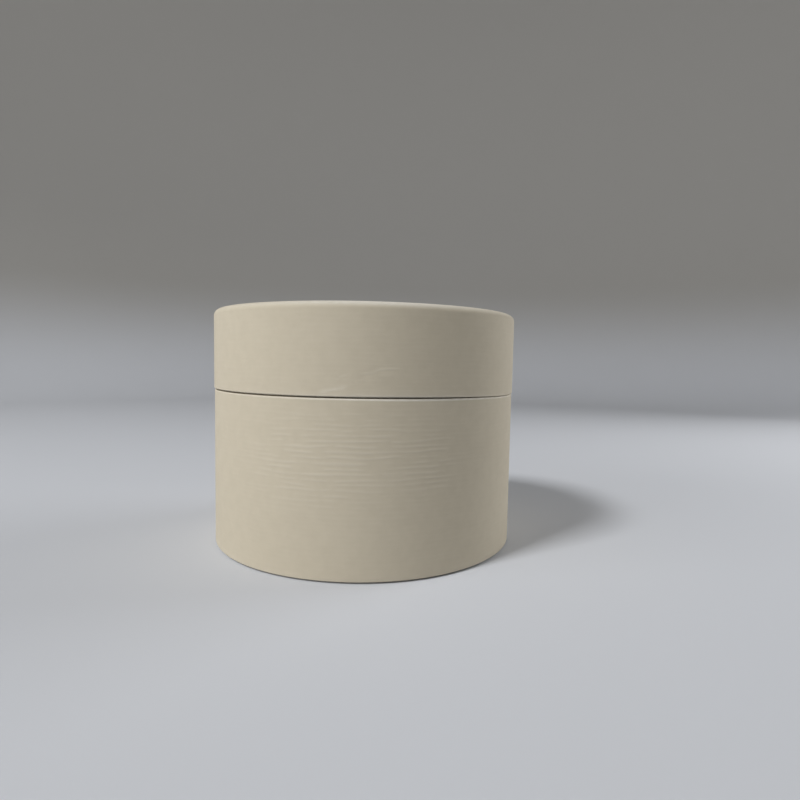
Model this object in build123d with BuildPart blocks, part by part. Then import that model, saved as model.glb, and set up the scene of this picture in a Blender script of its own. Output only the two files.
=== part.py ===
from build123d import *
import os
from math import degrees

# Cylindrical gift tube box: a paper-covered base with a neck standing out of it, and a lid with a rolled rim
# that slides down over the neck. Millimetres, +Z up. The origin is on the axis, where the box stands.

# Outside sizes
box_h = 60.0  # from the surface it stands on to the crown of the rolled rim, lid closed
base_r = 40.0  # outside of the base's paper
lid_h = 20.0  # from the lid's mouth to the crown of its rim
seam_gap = 0.25  # the dark line between the lid's mouth and the base's

# Board and paper thicknesses
wrap_t = 0.25  # textured outside paper
lining_t = 0.15  # smooth inside paper
base_board_t = 1.5
bottom_board_t = 1.5
neck_board_t = 1.5
lid_board_t = 1.1
top_board_t = 1.5

# Fit of the lid on the neck
slide_clearance = 0.25  # on the radius, all the way up the neck

# Rolled rim on the lid
roll_hollow_r = 0.25  # the small hollow left inside the roll
crown_w = 0.5  # flat on the very top of the roll
roll_leg = 1.2  # straight end of the roll, down to the top disc

# Bottom edge and turned-in paper of the base
base_edge_r = 0.1  # rounding of the board's lower corner
turn_in_w = 8.0  # how far the paper reaches in under the bottom, past the rounding
notch_count = 24  # notches that let the turned-in paper lie flat
notch_w = 2.0  # width of a notch at the paper's inner edge
notch_land = 1.0  # paper left whole between the rounding and the notches
bottom_paper_inset = 1.6  # the bottom paper stops this far inside the rounding

# Lap seams of the two outside papers, at the back
lap_w = 8.0
lap_step = 0.12  # what the cut edge stands proud after pressing
lap_margin = 0.3  # the lap is pressed flat this near to a fold, a rounding or the roll
base_lap_deg = 97.0  # place of the cut edge, counted from +X, seen from above
lid_lap_deg = 121.0

# Where a cutter has to run past what it cuts
overrun = 1.0

# Levels of the base
underside_z = 2 * wrap_t  # the bottom paper and the turned-in paper lie under the board
floor_z = underside_z + bottom_board_t
lid_mouth_z = box_h - lid_h
base_mouth_z = lid_mouth_z - seam_gap

# Radii from the outside of the base in to the neck's bore, and out again to the outside of the lid
base_board_r = base_r - wrap_t
neck_r = base_board_r - base_board_t
neck_bore_r = neck_r - neck_board_t
lined_bore_r = neck_bore_r - lining_t
neck_skin_r = neck_r + lining_t
lid_lining_r = neck_skin_r + slide_clearance
lid_bore_r = lid_lining_r + lining_t
lid_board_r = lid_bore_r + lid_board_t
lid_r = lid_board_r + wrap_t

# The roll winds round its hollow, board first and paper outside
board_roll_r = roll_hollow_r + lid_board_t
paper_roll_r = board_roll_r + wrap_t
roll_z = box_h - paper_roll_r
roll_outer_x = lid_r - paper_roll_r
roll_inner_x = roll_outer_x - crown_w

# Levels of the lid's end, from the roll's leg down to the ceiling
top_paper_z = roll_z - roll_leg
top_board_z = top_paper_z - wrap_t
ceiling_board_z = top_board_z - top_board_t
ceiling_z = ceiling_board_z - lining_t

# The lid's ceiling rests on the neck's lined top edge
neck_board_z = ceiling_z - lining_t

# Rounding and turned-in paper under the base
rounding_r = base_board_r - base_edge_r
turn_in_r = rounding_r - turn_in_w
notch_tip_r = rounding_r - notch_land
bottom_paper_r = rounding_r - bottom_paper_inset


def ring(inner_r, outer_r, low_z, high_z):
    """Section of a tube, a washer or, from radius 0, a disc, in a sketch of radius against height."""
    with Locations(((inner_r + outer_r) / 2, (low_z + high_z) / 2)):
        Rectangle(outer_r - inner_r, high_z - low_z)


def corner(section, radius, z):
    """The corner of a section that lies at a radius and a height."""
    return section.vertices().sort_by_distance((radius, z))[0]


def rolled_band(wall_r, bend_r, thickness, low_z):
    """Section of a sheet that climbs a wall, rolls inwards over the rim and ends in a short straight leg."""
    hollow_r = bend_r - thickness
    inner_r = wall_r - thickness
    leg_r = roll_inner_x - bend_r
    leg_z = roll_z - roll_leg
    with BuildLine() as outline:
        Polyline((inner_r, low_z), (wall_r, low_z), (wall_r, roll_z))
        CenterArc((roll_outer_x, roll_z), bend_r, 0, 90)
        Line((roll_outer_x, roll_z + bend_r), (roll_inner_x, roll_z + bend_r))
        CenterArc((roll_inner_x, roll_z), bend_r, 90, 90)
        Polyline((leg_r, roll_z), (leg_r, leg_z), (leg_r + thickness, leg_z), (leg_r + thickness, roll_z))
        CenterArc((roll_inner_x, roll_z), hollow_r, 180, -90)
        Line((roll_inner_x, roll_z + hollow_r), (roll_outer_x, roll_z + hollow_r))
        CenterArc((roll_outer_x, roll_z), hollow_r, 90, -90)
        Line((inner_r, roll_z), (inner_r, low_z))
    make_face(outline.edges())


def polar(radius, angle):
    """Point at a radius and an angle from +X, in degrees."""
    return Vector(radius, 0).rotate(Axis.Z, angle)


def lap(wall_r, low_z, high_z, angle):
    """The outside paper laps over itself: it rises slowly and drops off at its cut edge, at the angle."""
    sweep = degrees(lap_w / wall_r)
    start = angle - sweep
    buried_r = wall_r - wrap_t / 2
    proud_r = wall_r + lap_step
    with BuildSketch(Plane.XY.offset(low_z)) as strip:
        with BuildLine():
            CenterArc((0, 0), buried_r, start, sweep)
            Line(polar(buried_r, angle), polar(proud_r, angle))
            ThreePointArc(
                polar(proud_r, angle),
                polar((buried_r + proud_r) / 2, start + sweep / 2),
                polar(buried_r, start),
            )
        make_face()
    extrude(strip.sketch, amount=high_z - low_z)


def write(piece, name):
    """Labels a finished piece and writes its file."""
    piece.part.label = name
    export_step(piece.part, f"parts/{name}.step")


# Base: board tube with a rounded lower corner
with BuildPart() as base_tube:
    with BuildSketch(Plane.XZ) as section:
        ring(neck_r, base_board_r, underside_z, base_mouth_z - wrap_t)
        fillet(corner(section, base_board_r, underside_z), base_edge_r)
    revolve(axis=Axis.Z)

# Base: textured paper, one sheet from its turned-in mouth down the wall and in under the bottom
with BuildPart() as base_wrap:
    with BuildSketch(Plane.XZ) as section:
        ring(turn_in_r, base_r, wrap_t, base_mouth_z)
        fillet(corner(section, base_r, base_mouth_z), wrap_t)
        fillet(corner(section, base_r, wrap_t), base_edge_r + wrap_t)
        with BuildSketch(mode=Mode.SUBTRACT) as board:
            ring(turn_in_r - overrun, base_board_r, underside_z, base_mouth_z - wrap_t)
            ring(turn_in_r - overrun, neck_r, base_mouth_z - wrap_t, base_mouth_z + overrun)
            fillet(corner(board, base_board_r, underside_z), base_edge_r)
    revolve(axis=Axis.Z)
    lap(base_r, underside_z + base_edge_r + lap_margin, base_mouth_z - wrap_t - lap_margin, base_lap_deg)
    with BuildSketch(Plane.XY.offset(wrap_t)):
        with PolarLocations(0, notch_count):
            Polygon(
                (notch_tip_r, 0),
                (turn_in_r, notch_w / 2),
                (turn_in_r - overrun, notch_w / 2),
                (turn_in_r - overrun, -notch_w / 2),
                (turn_in_r, -notch_w / 2),
                align=None,
            )
    extrude(amount=wrap_t, mode=Mode.SUBTRACT)

# Base: board disc that closes the tube's lower end
with BuildPart() as base_bottom_board:
    with BuildSketch(Plane.XZ):
        ring(0, neck_r, underside_z, floor_z)
    revolve(axis=Axis.Z)

# Base: paper disc pasted over the turned-in edge, the face that the box stands on
with BuildPart() as base_bottom_paper:
    with BuildSketch(Plane.XZ):
        ring(0, bottom_paper_r, 0, wrap_t)
    revolve(axis=Axis.Z)

# Neck: inner board tube glued into the base, standing on the bottom board
with BuildPart() as neck_tube:
    with BuildSketch(Plane.XZ):
        ring(neck_bore_r, neck_r, floor_z, neck_board_z)
    revolve(axis=Axis.Z)

# Neck: smooth paper up the bore, over the top edge and down the outside to the base's mouth
with BuildPart() as neck_lining:
    with BuildSketch(Plane.XZ) as section:
        ring(lined_bore_r, neck_bore_r, floor_z, ceiling_z)
        ring(neck_bore_r, neck_r, neck_board_z, ceiling_z)
        ring(neck_r, neck_skin_r, base_mouth_z, ceiling_z)
        fillet(corner(section, neck_skin_r, ceiling_z), lining_t)
        fillet(corner(section, lined_bore_r, ceiling_z), lining_t)
    revolve(axis=Axis.Z)

# Base: smooth paper disc on the floor inside
with BuildPart() as base_floor_paper:
    with BuildSketch(Plane.XZ):
        ring(0, lined_bore_r, floor_z, floor_z + lining_t)
    revolve(axis=Axis.Z)

# Lid: board tube with its top end rolled inwards
with BuildPart() as lid_tube:
    with BuildSketch(Plane.XZ):
        rolled_band(lid_board_r, board_roll_r, lid_board_t, lid_mouth_z + wrap_t)
    revolve(axis=Axis.Z)

# Lid: textured paper, one sheet from its turned-in mouth up the wall and round the roll
with BuildPart() as lid_wrap:
    with BuildSketch(Plane.XZ) as section:
        rolled_band(lid_r, paper_roll_r, wrap_t, lid_mouth_z)
        ring(lid_lining_r, lid_r, lid_mouth_z, lid_mouth_z + wrap_t)
        fillet(corner(section, lid_r, lid_mouth_z), wrap_t)
    revolve(axis=Axis.Z)
    lap(lid_r, lid_mouth_z + wrap_t + lap_margin, roll_z - lap_margin, lid_lap_deg)

# Lid: board disc held up against the roll's leg
with BuildPart() as lid_top_board:
    with BuildSketch(Plane.XZ):
        ring(0, lid_bore_r, ceiling_board_z, top_board_z)
    revolve(axis=Axis.Z)

# Lid: textured paper disc on the board, at the bottom of the recess
with BuildPart() as lid_top_paper:
    with BuildSketch(Plane.XZ):
        ring(0, lid_bore_r, top_board_z, top_paper_z)
    revolve(axis=Axis.Z)

# Lid: smooth paper inside the wall, from the turned-in paper up to the board disc
with BuildPart() as lid_lining:
    with BuildSketch(Plane.XZ):
        ring(lid_lining_r, lid_bore_r, lid_mouth_z + wrap_t, ceiling_board_z)
    revolve(axis=Axis.Z)

# Lid: smooth paper under the board disc, which comes to rest on the neck
with BuildPart() as lid_ceiling_paper:
    with BuildSketch(Plane.XZ):
        ring(0, lid_lining_r, ceiling_z, ceiling_board_z)
    revolve(axis=Axis.Z)


os.makedirs("parts", exist_ok=True)
write(base_tube, "base_tube")
write(base_wrap, "base_wrap")
write(base_bottom_board, "base_bottom_board")
write(base_bottom_paper, "base_bottom_paper")
write(neck_tube, "neck_tube")
write(neck_lining, "neck_lining")
write(base_floor_paper, "base_floor_paper")
write(lid_tube, "lid_tube")
write(lid_wrap, "lid_wrap")
write(lid_top_board, "lid_top_board")
write(lid_top_paper, "lid_top_paper")
write(lid_lining, "lid_lining")
write(lid_ceiling_paper, "lid_ceiling_paper")
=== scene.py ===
"""Cylindrical gift tube box, dressed and lit for the photograph's view.

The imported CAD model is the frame. The papers that show a pressed surface, and the neck's lining, are worked
out here as numpy surfaces that replace their CAD nodes. Every other node keeps its mesh and gets a material.
Sizes are in millimetres until a mesh is made, and angles run from +X, seen from above.
"""

from __future__ import annotations

import logging
import math
from collections.abc import Callable
from dataclasses import dataclass, field
from enum import Enum

import bmesh
import bpy
import numpy as np
from mathutils import Matrix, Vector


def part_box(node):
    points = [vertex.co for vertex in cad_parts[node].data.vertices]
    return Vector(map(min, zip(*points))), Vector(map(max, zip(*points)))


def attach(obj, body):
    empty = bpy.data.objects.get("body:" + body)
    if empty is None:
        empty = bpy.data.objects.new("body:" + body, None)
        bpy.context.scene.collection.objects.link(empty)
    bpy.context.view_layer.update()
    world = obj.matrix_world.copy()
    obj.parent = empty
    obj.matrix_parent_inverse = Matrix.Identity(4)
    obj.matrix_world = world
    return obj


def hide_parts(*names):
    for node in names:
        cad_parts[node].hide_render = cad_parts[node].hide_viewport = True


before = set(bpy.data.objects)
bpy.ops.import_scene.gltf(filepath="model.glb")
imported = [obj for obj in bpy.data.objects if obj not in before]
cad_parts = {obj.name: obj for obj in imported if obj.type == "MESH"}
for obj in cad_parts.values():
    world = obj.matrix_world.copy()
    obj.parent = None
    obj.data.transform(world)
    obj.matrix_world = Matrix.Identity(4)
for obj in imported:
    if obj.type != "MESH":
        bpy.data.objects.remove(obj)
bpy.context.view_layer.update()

LOG = logging.getLogger("tube_box")
MM = 0.001
WELD = 1e-7  # metres; points nearer than this are one point
CREASE_ANGLE = math.radians(38)  # faces that meet more sharply than this keep a hard edge
SHARE, FIRST, SECOND, MIXED = 0, 6, 7, 2  # the Mix node's sockets for colours, by number as names repeat
CLOUD_SIZE = (256.0, 128.0)  # length and width of a sheet of clouds, before it repeats
CLOUD_STEP = (1.0, 1.0)
CLOUD_SPREADS = 2.5  # size of one cloud, in spreads of its bell
CUT_GAP_DEG = 0.045  # between the close pair of columns at a paper's cut edge
CUT_INSIDE_DEG = 0.02  # from the pair's first column to an angle between the two

Array = np.ndarray
Pair = tuple[float, float]
Colour = tuple[float, float, float, float]
Weight = Callable[[Array, Array], Array]
Object = bpy.types.Object
Material = bpy.types.Material
Tree = bpy.types.NodeTree
Socket = bpy.types.NodeSocket


class Body(Enum):
    """The CAD bodies that pieces ride on."""

    BASE = "base"
    LID = "lid"


class Slot(Enum):
    """The record's material slots for the new pieces."""

    RIBBED = "ribbed_paper"
    SMOOTH = "smooth_paper"


class Zone(Enum):
    """What a stretch of a section is. The value is the share of the ribs' depth that it shows."""

    FACE = 1.0
    ROLL = 0.4
    FOLD = 0.2
    HIDDEN = 0.0


class Side(Enum):
    """The side of a paper disc that shows."""

    TOP = 1
    UNDERSIDE = -1


# Colours and nodes


def linear(hex_colour: str) -> Colour:
    """Turns an sRGB hex colour into the linear values that a shader takes, by the standard's own curve.

    Args:
        hex_colour: The colour, such as "#C4BEAB".

    Returns:
        Red, green, blue and an alpha of 1.
    """
    values = np.array([int(hex_colour[i : i + 2], 16) for i in (1, 3, 5)]) / 255
    red, green, blue = np.where(values <= 0.04045, values / 12.92, ((values + 0.055) / 1.055) ** 2.4)
    return float(red), float(green), float(blue), 1.0


def add(tree: Tree, kind: str, inputs: dict | None = None, **settings: object) -> bpy.types.Node:
    """Adds a node to a tree.

    Args:
        tree: The node tree.
        kind: The node's type, such as "ShaderNodeBump".
        inputs: What goes into each named or numbered input: a value, or an output to link from.
        **settings: The node's own properties.

    Returns:
        The new node.
    """
    node = tree.nodes.new(kind)
    for name, value in settings.items():
        setattr(node, name, value)
    for name, value in (inputs or {}).items():
        if isinstance(value, Socket):
            tree.links.new(value, node.inputs[name])
        else:
            node.inputs[name].default_value = value
    return node


def new_material(name: str) -> tuple[Material, Tree, Socket]:
    """Starts a material.

    Args:
        name: The finish's name.

    Returns:
        The material, its node tree and the output that gives the place on the piece.
    """
    material = bpy.data.materials.new(name)
    material.use_nodes = True
    material.node_tree.nodes.clear()
    return material, material.node_tree, add(material.node_tree, "ShaderNodeTexCoord").outputs["Object"]


# Finishes


@dataclass(frozen=True)
class Mottle:
    """Blotches of a second shade, from noise of a real size."""

    size_mm: float
    detail: float
    start: float  # levels of the noise where a blotch starts and where it is full
    full: float
    share: float  # of the second shade in a full blotch

    def shade(self, place: Socket, colour: Colour | Socket, second: str) -> tuple[Socket, Socket]:
        """Mixes the second shade into a colour.

        Args:
            place: The output that gives the place on the piece.
            colour: The colour, linear values or an output.
            second: The second shade, as hex.

        Returns:
            The mixed colour, and the noise, which can be a relief too.
        """
        tree = place.id_data
        size = {"Vector": place, "Scale": 1 / (self.size_mm * MM), "Detail": self.detail}
        noise = add(tree, "ShaderNodeTexNoise", size).outputs[0]
        levels = {"Value": noise, "From Min": self.start, "From Max": self.full, "To Max": self.share}
        blotch = add(tree, "ShaderNodeMapRange", levels).outputs[0]
        shades = {SHARE: blotch, FIRST: colour, SECOND: linear(second)}
        return add(tree, "ShaderNodeMix", shades, data_type="RGBA").outputs[MIXED], noise


@dataclass(frozen=True)
class Finish:
    """What all the papers and boards have: a matte surface with a fine relief."""

    name: str
    colour: str
    roughness: float
    specular: float
    relief_mm: float  # what a relief of 1 stands proud
    sheen: float = 0.0  # the soft light that loose fibres catch at a grazing angle
    sheen_roughness: float = 0.6
    ior: float = 1.5

    def surface(self, colour: Socket, relief: Socket) -> None:
        """Ends the material with its surface.

        Args:
            colour: The output that gives the colour.
            relief: The output that gives the relief's height.
        """
        tree = colour.id_data
        height = {"Height": relief, "Strength": 1.0, "Distance": self.relief_mm * MM}
        inputs = {
            "Base Color": colour,
            "Roughness": self.roughness,
            "IOR": self.ior,
            "Specular IOR Level": self.specular,
            "Sheen Weight": self.sheen,
            "Sheen Roughness": self.sheen_roughness,
            "Normal": add(tree, "ShaderNodeBump", height).outputs[0],
        }
        shader = add(tree, "ShaderNodeBsdfPrincipled", inputs).outputs[0]
        add(tree, "ShaderNodeOutputMaterial", {"Surface": shader})


@dataclass(frozen=True)
class RibbedPaper(Finish):
    """Uncoated dyed paper, pressed between ribbed rollers: dead matt, faintly cloudy, with a soft tooth.

    The ribs themselves are in the mesh. The material adds what is finer: clouds of denser fibre, fibres that
    lie along the ribs, slightly paler crests, and pale fibres of wear and painted highlight on folds and
    rolled edges.
    """

    name: str = "uncoated_ribbed_paper"
    colour: str = "#CBC1AC"
    dense: str = "#C3B9A4"  # where the sheet has more fibre
    crest: str = "#D2C9B8"  # tops of the ribs
    crest_share: float = 0.5
    rub_and_highlight_colour: str = "#F1EDE3"  # fibres raised by wear, and painted highlight on folds and the roll's crown
    roughness: float = 0.88
    specular: float = 0.22
    relief_mm: float = 0.007
    sheen: float = 0.06
    cloud: Mottle = Mottle(2.4, 3.0, 0.35, 0.7, 0.4)
    fibre_mm: Pair = (1.6, 0.16)  # length and width; real ones are finer than the render can show
    fibre_levels: Pair = (0.3, 0.7)  # of their noise, where the pale fibres of wear and painted highlight start to rise and where they stand
    least_rub_and_highlight: float = 0.5  # share of the wear and painted highlight between the fibres
    tooth_mm: float = 0.22

    def material(self) -> Material:
        """Makes the material.

        Returns:
            The material.
        """
        material, tree, place = new_material(self.name)
        sheet = add(tree, "ShaderNodeUVMap", uv_map="sheet").outputs[0]
        crest = add(tree, "ShaderNodeAttribute", attribute_name="crest").outputs["Fac"]
        rub_and_highlight = add(tree, "ShaderNodeAttribute", attribute_name="rub_and_highlight").outputs["Fac"]
        fibre_size = {"Vector": sheet, "Scale": (1 / self.fibre_mm[0], 1 / self.fibre_mm[1], 1.0)}
        combed = add(tree, "ShaderNodeMapping", fibre_size).outputs[0]
        fibres = add(tree, "ShaderNodeTexNoise", {"Vector": combed, "Scale": 1.0, "Detail": 2.0}).outputs[0]
        tooth_size = {"Vector": place, "Scale": 1 / (self.tooth_mm * MM), "Detail": 1.0}
        tooth = add(tree, "ShaderNodeTexNoise", tooth_size).outputs[0]
        colour, _ = self.cloud.shade(place, linear(self.colour), self.dense)
        crest = add(tree, "ShaderNodeMath", {0: crest, 1: self.crest_share}, operation="MULTIPLY").outputs[0]
        shades = {SHARE: crest, FIRST: colour, SECOND: linear(self.crest)}
        colour = add(tree, "ShaderNodeMix", shades, data_type="RGBA").outputs[MIXED]
        low, high = self.fibre_levels
        levels = {"Value": fibres, "From Min": low, "From Max": high, "To Min": self.least_rub_and_highlight}
        hairy = add(tree, "ShaderNodeMapRange", levels).outputs[0]
        # The pale colour paints highlight on the folds, the roll's crown and the creases, beside real wear.
        worn = add(tree, "ShaderNodeMath", {0: rub_and_highlight, 1: hairy}, operation="MULTIPLY").outputs[0]
        shades = {SHARE: worn, FIRST: colour, SECOND: linear(self.rub_and_highlight_colour)}
        colour = add(tree, "ShaderNodeMix", shades, data_type="RGBA").outputs[MIXED]
        fine = add(tree, "ShaderNodeMath", {0: fibres, 1: tooth}, operation="ADD").outputs[0]
        self.surface(colour, fine)
        return material


@dataclass(frozen=True)
class SmoothPaper(Finish):
    """Smooth uncoated lining paper, calendered: paler and more even than the outside, with a faint silk."""

    name: str = "smooth_lining_paper"
    colour: str = "#D5CFC0"
    dense: str = "#CCC5B4"
    roughness: float = 0.7
    specular: float = 0.35
    relief_mm: float = 0.003
    cloud: Mottle = Mottle(4.5, 4.0, 0.3, 0.75, 0.6)
    tooth_mm: float = 0.12

    def material(self) -> Material:
        """Makes the material.

        Returns:
            The material.
        """
        material, tree, place = new_material(self.name)
        tooth_size = {"Vector": place, "Scale": 1 / (self.tooth_mm * MM), "Detail": 1.0}
        tooth = add(tree, "ShaderNodeTexNoise", tooth_size).outputs[0]
        colour, _ = self.cloud.shade(place, linear(self.colour), self.dense)
        self.surface(colour, tooth)
        return material


@dataclass(frozen=True)
class WoundBoard(Finish):
    """Board wound from strips of recycled paper: brown grey, with the strips' lines climbing round it."""

    name: str = "wound_tube_board"
    colour: str = "#A08F76"
    fibre: str = "#83745E"
    roughness: float = 0.9
    specular: float = 0.2
    relief_mm: float = 0.02
    fleck: Mottle = Mottle(0.6, 4.0, 0.3, 0.7, 0.8)
    strip_mm: float = 55.0  # what the strips climb in one turn
    line_mm: float = 0.5  # width of the line between two strips

    def material(self) -> Material:
        """Makes the material.

        The line's pattern is height over the strip's climb, plus the angle round the axis over a turn. Its
        fraction crosses 0 along a helix, which is where two strips meet.

        Returns:
            The material.
        """
        material, tree, place = new_material(self.name)
        x, y, z = add(tree, "ShaderNodeSeparateXYZ", {0: place}).outputs
        angle = add(tree, "ShaderNodeMath", {0: y, 1: x}, operation="ARCTAN2").outputs[0]
        turn = add(tree, "ShaderNodeMath", {0: angle, 1: 1 / math.tau}, operation="MULTIPLY").outputs[0]
        climb_inputs = {0: z, 1: 1 / (self.strip_mm * MM), 2: turn}
        climb = add(tree, "ShaderNodeMath", climb_inputs, operation="MULTIPLY_ADD").outputs[0]
        share = add(tree, "ShaderNodeMath", {0: climb}, operation="FRACT").outputs[0]
        levels = {"Value": share, "From Max": self.line_mm / self.strip_mm}
        line = add(tree, "ShaderNodeMapRange", levels).outputs[0]
        colour, fibres = self.fleck.shade(place, linear(self.colour), self.fibre)
        shades = {SHARE: line, FIRST: linear(self.fibre), SECOND: colour}
        colour = add(tree, "ShaderNodeMix", shades, data_type="RGBA").outputs[MIXED]
        relief = add(tree, "ShaderNodeMath", {0: fibres, 1: line}, operation="ADD").outputs[0]
        self.surface(colour, relief)
        return material


@dataclass(frozen=True)
class GreyBoard(Finish):
    """Solid grey board, pressed from recycled fibre: flecked, dull and slightly hairy."""

    name: str = "grey_board"
    colour: str = "#9B958A"
    fleck: str = "#6F695F"
    roughness: float = 0.92
    specular: float = 0.2
    relief_mm: float = 0.015
    pulp: Mottle = Mottle(1.1, 4.0, 0.3, 0.7, 0.4)
    spot: Mottle = Mottle(0.4, 1.0, 0.66, 0.72, 0.7)

    def material(self) -> Material:
        """Makes the material.

        Returns:
            The material.
        """
        material, tree, place = new_material(self.name)
        cloudy, pulp = self.pulp.shade(place, linear(self.colour), self.fleck)
        colour, _ = self.spot.shade(place, cloudy, self.fleck)
        self.surface(colour, pulp)
        return material


@dataclass(frozen=True)
class StagePaint:
    """Flat emulsion on the floor and backdrop: a plain pale floor that passes softly into a darker wall."""

    name: str = "matt_emulsion"
    floor: str = "#D6D9DF"
    wall: str = "#A9A7A3"
    wall_from: float = 8.0  # heights between which the floor's colour passes into the wall's
    wall_to: float = 170.0
    roughness: float = 0.9
    specular: float = 0.2

    def material(self) -> Material:
        """Makes the material.

        Returns:
            The material.
        """
        material, tree, place = new_material(self.name)
        height = add(tree, "ShaderNodeSeparateXYZ", {0: place}).outputs[2]
        levels = {"Value": height, "From Min": self.wall_from * MM, "From Max": self.wall_to * MM}
        up = add(tree, "ShaderNodeMapRange", levels, interpolation_type="SMOOTHSTEP").outputs[0]
        shades = {SHARE: up, FIRST: linear(self.floor), SECOND: linear(self.wall)}
        colour = add(tree, "ShaderNodeMix", shades, data_type="RGBA").outputs[MIXED]
        inputs = {"Base Color": colour, "Roughness": self.roughness, "Specular IOR Level": self.specular}
        shader = add(tree, "ShaderNodeBsdfPrincipled", inputs).outputs[0]
        add(tree, "ShaderNodeOutputMaterial", {"Surface": shader})
        return material


# Pressed relief of the paper


def smooth_step(value: Array, low: float | Array, high: float | Array) -> Array:
    """Goes from 0 to 1 between two values: three times the square less twice the cube of the share."""
    share = np.clip((value - low) / (high - low), 0, 1)
    return share**2 * (3 - 2 * share)


def turned(angle: Array, middle: float = 0.0) -> Array:
    """Works out how far each angle is turned from a middle, in degrees from -180 to 180."""
    return (angle - middle + 180) % 360 - 180


def bell_weight(long: float, wide: float) -> Weight:
    """Weight that falls off as a bell around 0, for variation of a given length and width."""
    long, wide = math.tau * long, math.tau * wide
    return lambda along, across: np.exp(-((long * along) ** 2 + (wide * across) ** 2) / 2)


@dataclass(frozen=True)
class HeightSheet:
    """Heights over a sheet that repeats, read between its values by straight lines."""

    values: Array
    step: Pair  # distance between two values, along the length and the width

    @classmethod
    def draw(cls, seed: int, size: Pair, step: Pair, weight: Weight) -> HeightSheet:
        """Draws random heights with a chosen spacing.

        White noise is taken to frequencies, multiplied by a weight for each frequency, and brought back. The
        result repeats at its edges and has a spread of 1.

        Args:
            seed: Seed of the random draw.
            size: Length and width of the sheet.
            step: Distance between two values, along the length and the width.
            weight: The weight, from the frequencies along and across in cycles per millimetre.

        Returns:
            The sheet.
        """
        columns, rows = (round(extent / part) for extent, part in zip(size, step))
        white = np.random.default_rng(seed).standard_normal((rows, columns))
        along = np.fft.fftfreq(columns, step[0])[None, :]
        across = np.fft.fftfreq(rows, step[1])[:, None]
        shaped = np.fft.ifft2(np.fft.fft2(white) * weight(along, across)).real
        return cls(shaped / shaped.std(), step)

    @classmethod
    def clouds(cls, seed: int, grain: float) -> HeightSheet:
        """Draws slow, even variation, with clouds of the grain's size."""
        spread = grain / CLOUD_SPREADS
        return cls.draw(seed, CLOUD_SIZE, CLOUD_STEP, bell_weight(spread, spread))

    def at(self, along: Array, across: Array) -> Array:
        """Reads the heights at places on the sheet.

        Args:
            along: Places along the sheet's length.
            across: Places across it.

        Returns:
            The heights there.
        """
        rows, columns = self.values.shape
        u, v = along / self.step[0], across / self.step[1]
        column, row = np.floor(u).astype(int), np.floor(v).astype(int)
        right, up = u - column, v - row
        column, row = column % columns, row % rows
        next_column, next_row = (column + 1) % columns, (row + 1) % rows
        low = self.values[row, column] * (1 - right) + self.values[row, next_column] * right
        high = self.values[next_row, column] * (1 - right) + self.values[next_row, next_column] * right
        return low * (1 - up) + high * up


@dataclass
class Embossing:
    """Fine level ribs pressed into paper: evenly spaced, a little wavering, and broken into lengths."""

    pitch: float = 1.16
    drift: float = 0.18  # how far the ribs drift off an even spacing, over the drift's length and width
    drift_size: Pair = (16.0, 4.0)
    wave: float = 0.12  # how far they waver, over the wave's length and width
    wave_size: Pair = (2.0, 0.5)
    length: float = 1.1  # over which a rib goes on before it breaks
    tail: float = 0.75  # power of the breaks' fall along the ribs, which leaves some lengths long
    height: float = 0.3  # how far across the ribs a break reaches
    patch: float = 9.0  # size of the stronger and fainter patches
    patch_edge: float = 2.0  # how sharply the two part
    faintest: float = 0.7
    foot: float = -0.5  # levels of the ribs' cosine where a rib starts to rise and where it is at its top
    top: float = 1.0
    gap: float = -1.2  # levels of the breaks' noise where a rib starts and where it is at its full height
    whole: float = 0.6
    size: Pair = (256.0, 90.0)  # of the sheet, before it repeats
    step: Pair = (0.5, 0.09)
    seed: int = 31
    drifts: HeightSheet = field(init=False)
    waves: HeightSheet = field(init=False)
    breaks: HeightSheet = field(init=False)
    patches: HeightSheet = field(init=False)

    def __post_init__(self) -> None:
        """Draws the ribs' course, their breaks and the patches once."""
        across_break = bell_weight(0, self.height)

        def broken(along: Array, across: Array) -> Array:
            """Falls off as a bell across the ribs and slowly along them."""
            return across_break(along, across) / (1 + (math.tau * self.length * along) ** 2) ** self.tail

        self.drifts = HeightSheet.draw(self.seed, self.size, self.step, bell_weight(*self.drift_size))
        self.waves = HeightSheet.draw(self.seed + 1, self.size, self.step, bell_weight(*self.wave_size))
        self.breaks = HeightSheet.draw(self.seed + 2, self.size, self.step, broken)
        self.patches = HeightSheet.clouds(self.seed + 3, self.patch)

    def at(self, along: Array, across: Array) -> Array:
        """Reads the ribs' height on the sheet.

        The place across the ribs is moved by the drift and the wave. The cosine of its share of the pitch
        makes the ribs, which rise from foot to top. The breaks switch them on and off, and the patches scale
        them.

        Args:
            along: Places along the ribs.
            across: Places across them.

        Returns:
            Heights from 0, between the ribs, to 1.
        """
        drift, wave = self.drift * self.drifts.at(along, across), self.wave * self.waves.at(along, across)
        moved = across + drift + wave
        rib = smooth_step(np.cos(math.tau * moved / self.pitch), self.foot, self.top)
        run = smooth_step(self.breaks.at(along, across), self.gap, self.whole)
        strong = 1 / (1 + np.exp(-self.patch_edge * self.patches.at(along, across)))
        return rib * run * (self.faintest + (1 - self.faintest) * strong)


@dataclass(frozen=True)
class DeepPatch:
    """A stretch of wall where the ribs are pressed deeper, flat in its middle and oval at its edge."""

    angle: float  # degrees
    height: float
    wide: float  # degrees from the middle to the edge
    tall: float
    depth: float = 1.0

    def at(self, angle: Array, height: Array) -> Array:
        """Works out the depth: e to the minus square of the squares of both distances in widths, summed."""
        off, up = turned(angle, self.angle) / self.wide, (height - self.height) / self.tall
        return self.depth * np.exp(-((off[None, :] ** 2 + up[:, None] ** 2) ** 2))


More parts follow.
